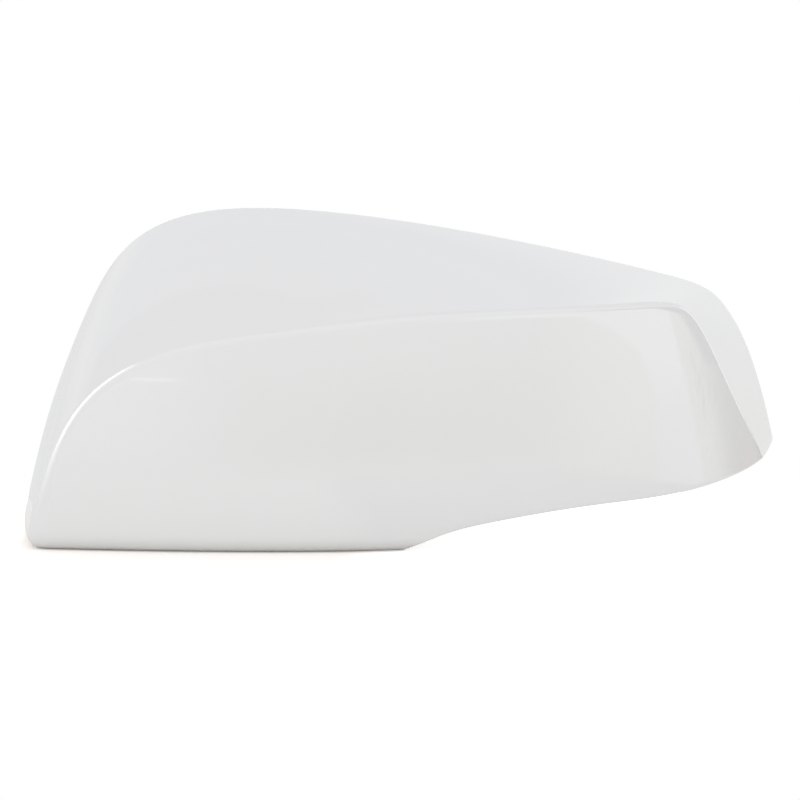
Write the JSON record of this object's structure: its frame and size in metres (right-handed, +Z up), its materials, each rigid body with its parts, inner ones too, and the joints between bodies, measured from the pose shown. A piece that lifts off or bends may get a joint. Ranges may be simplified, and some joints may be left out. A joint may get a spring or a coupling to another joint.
{
  "type": "wing mirror cover",
  "caption": "Gloss white cap that snaps over the front of a car's door mirror: crowned face swept back outboard, rounded crease, arched roof, open rear rim and lower side.",
  "frame": {"origin": "under the middle of the cover's box, level with its lower edge", "axes": "+X outboard along the cover's length, +Y to the rear towards the open rim, +Z up as fitted on a car"},
  "size_m": [0.2398, 0.085, 0.0988],
  "materials": {
    "white_paint": "white paint under a clear gloss coat; bare white plastic on the inside"
  },
  "bodies": {
    "root": {"mirror_cover": "white_paint"}
  },
  "joints": []
}
